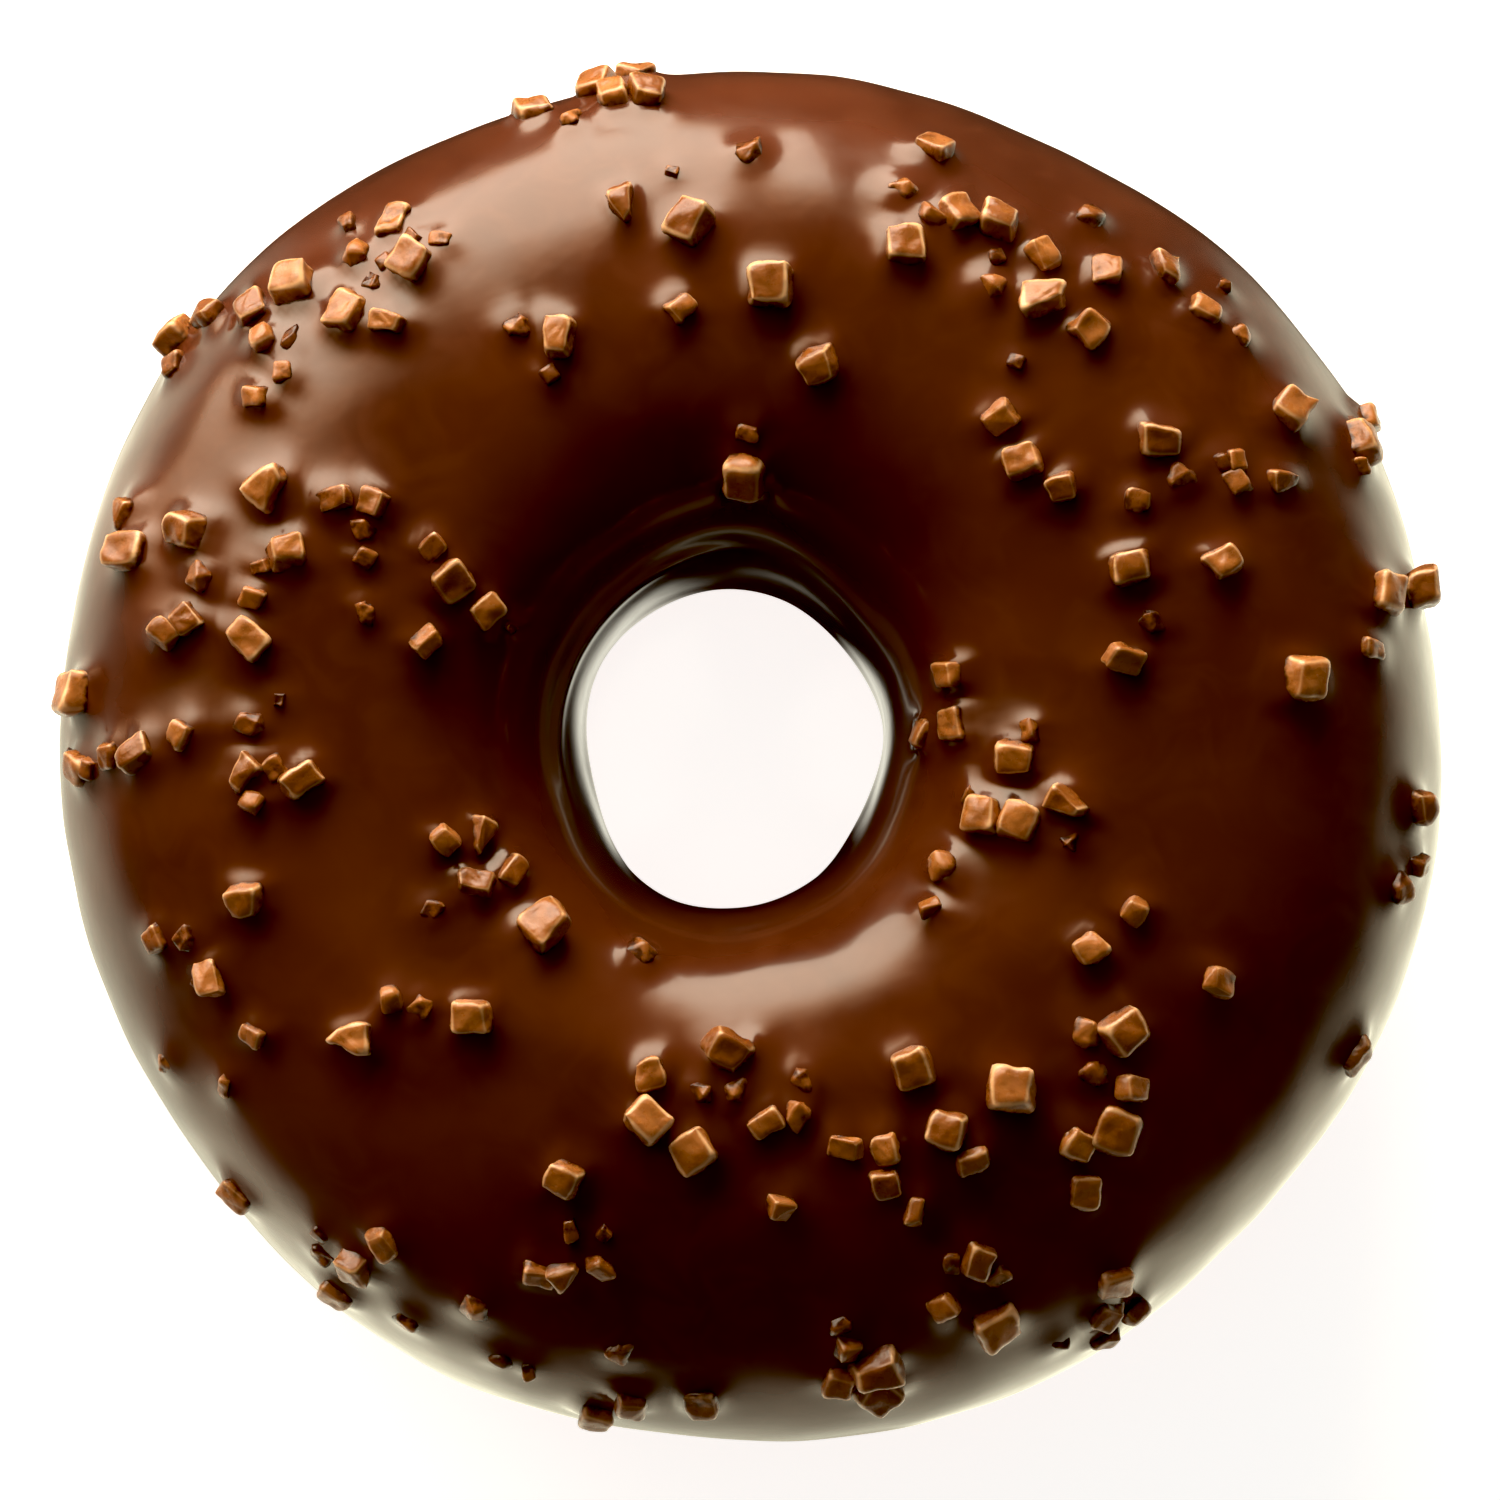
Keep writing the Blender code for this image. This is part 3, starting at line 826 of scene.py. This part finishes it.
def card_finish(name, glows):
    """A matt black finish that paints dark reflections, with pale glowing patches that paint reflected light,
    if the card has them.
    """
    m = Nodes(name)
    colour = m.mix(m.noise(2 * MM), (0.002, 0.002, 0.002), (0.004, 0.004, 0.004))
    normal = m.bump(m.noise(0.5 * MM), 0.01 * MM)
    finish = m.finish(colour, 0.9, normal, Emission_Color=(1.0, 0.97, 0.82, 1.0))
    if not glows:
        return finish
    bearing = m.new("ShaderNodeVectorMath", operation="NORMALIZE")
    m.link(m.place, bearing.inputs[0])
    patches = None
    for middle, half, soft in CARD_PATCHES_DEG:
        towards = m.new("ShaderNodeVectorMath", operation="DOT_PRODUCT")
        m.link(bearing.outputs["Vector"], towards.inputs[0])
        towards.inputs[1].default_value = direction(middle, 0)
        edges = (math.cos(math.radians(half + side * soft)) for side in (1, -1))
        patch = m.range(towards.outputs["Value"], *edges)
        patches = m.math("MAXIMUM", patch, patches) if patches else patch
    radius = m.new("ShaderNodeVectorMath", operation="LENGTH")
    m.link(m.place, radius.inputs[0])
    inside = m.range(radius.outputs["Value"], *CARD_PATCH_INSIDE)
    outside = m.range(radius.outputs["Value"], *CARD_PATCH_OUTSIDE, 0.0, CARD_GLOW)
    glow = m.math("MULTIPLY", patches, m.math("MULTIPLY", inside, outside))
    m.link(glow, m.shader.inputs["Emission Strength"])
    return finish


def add_card(name, place, reach, glows):
    """A round card in the hole that shows only in reflections, as a painted reflection."""
    azimuths = [2 * HALF_TURN * step / CARD_STEPS for step in range(CARD_STEPS)]
    rim = [(reach * math.cos(azimuth), reach * math.sin(azimuth), 0) for azimuth in azimuths]
    mesh = bpy.data.meshes.new(name)
    mesh.from_pydata(rim, [], [range(CARD_STEPS)])
    mesh.materials.append(card_finish(name, glows))
    card = bpy.data.objects.new(name, mesh)
    card.location = place
    bpy.context.scene.collection.objects.link(card)
    card.visible_camera = card.visible_shadow = card.visible_diffuse = False


def off_by(azimuth, middle_deg):
    """How many degrees an azimuth is from another, either way round."""
    return abs((math.degrees(azimuth) - middle_deg + 180) % 360 - 180)


def light_room():
    """The dim room, whose pale table shows in the glaze's lower edges, least on the window's side."""
    world = bpy.data.worlds.new("dim_room")
    world.use_nodes = True
    tree = world.node_tree
    facing = tree.nodes.new("ShaderNodeTexCoord").outputs["Generated"]
    split = tree.nodes.new("ShaderNodeSeparateXYZ")
    tree.links.new(facing, split.inputs[0])
    level = tree.nodes.new("ShaderNodeVectorMath")
    level.operation = "MULTIPLY"
    level.inputs[1].default_value = (1, 1, 0)
    tree.links.new(facing, level.inputs[0])
    bearing = tree.nodes.new("ShaderNodeVectorMath")
    bearing.operation = "NORMALIZE"
    tree.links.new(level.outputs[0], bearing.inputs[0])
    across = tree.nodes.new("ShaderNodeSeparateXYZ")
    tree.links.new(bearing.outputs[0], across.inputs[0])
    glow = product_of_ranges(tree, (
        (split.outputs["Z"], TABLE_BELOW_HORIZON, 0.0),
        (across.outputs["Y"], TABLE_OFF_WINDOW, 0.0),
        (across.outputs["Y"], TABLE_OFF_NEAR, TABLE_GLOW_NEAR),
        (across.outputs["X"], TABLE_OFF_LEFT, TABLE_GLOW_LEFT),
    ))
    strength = tree.nodes.new("ShaderNodeMath")
    strength.operation = "MULTIPLY_ADD"
    tree.links.new(glow, strength.inputs[0])
    strength.inputs[1].default_value, strength.inputs[2].default_value = TABLE_GLOW, ROOM_GLOW
    back = tree.nodes["Background"]
    back.inputs["Color"].default_value = (*ROOM_COLOUR, 1)
    tree.links.new(strength.outputs[0], back.inputs["Strength"])
    bpy.context.scene.world = world


def light_scene():
    """The window at the back left, the fill lights, the cards in the hole and the room."""
    fade_edges(add_softbox(WINDOW).data)
    for box in FILLS:
        add_softbox(box).visible_glossy = False
    add_card("floor_card", CARD_PLACE, CARD_REACH, True)
    add_card("raised_card", DISC_PLACE, DISC_REACH, False)
    light_room()


def set_film():
    """The photograph's deep shadows, by a slightly raised black level."""
    view = bpy.context.scene.view_settings
    view.view_transform = "Standard"
    view.use_curve_mapping = True
    view.curve_mapping.black_level = BLACK_LEVEL
    view.curve_mapping.update()


def add_camera():
    """The photograph's view: from nearly straight above, with the doughnut filling the square frame."""
    data = bpy.data.cameras.new("camera")
    data.sensor_width = SENSOR_WIDTH_MM
    data.lens = SENSOR_WIDTH_MM * CAMERA_DISTANCE / VIEW_WIDTH
    data.clip_start, data.clip_end = CAMERA_CLIP
    place = CAMERA_AIM + direction(-90, CAMERA_ELEVATION_DEG) * CAMERA_DISTANCE
    bpy.context.scene.camera = aimed("camera", data, place, CAMERA_AIM)


def add_table():
    """The floor that the doughnut stands on, which doesn't show in reflections."""
    mesh = bpy.data.meshes.new("table_top")
    corners = [(FLOOR_HALF * x, FLOOR_HALF * y, 0) for x, y in ((-1, -1), (1, -1), (1, 1), (-1, 1))]
    mesh.from_pydata(corners, [], [(0, 1, 2, 3)])
    mesh.materials.append(table())
    top = bpy.data.objects.new("table_top", mesh)
    bpy.context.scene.collection.objects.link(top)
    top.visible_glossy = False


def dress():
    """Replaces both solids with their finished pieces."""
    pieces = scatter()
    waxy = fudge()
    meshes, tree, heights = fudge_meshes(pieces)
    for name, mesh in meshes.items():
        fudge_object = new_object(f"fudge_{name}s", mesh, waxy)
        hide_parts("chocolate_glaze")
    coat = new_object("chocolate_glaze_coat", glaze_mesh(tree, heights), chocolate())
    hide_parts("chocolate_glaze")
    ring = new_object("fried_dough_ring", dough_mesh(), dough())
    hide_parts("dough_ring")


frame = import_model()
add_camera()
add_table()
light_scene()
set_film()
dress()
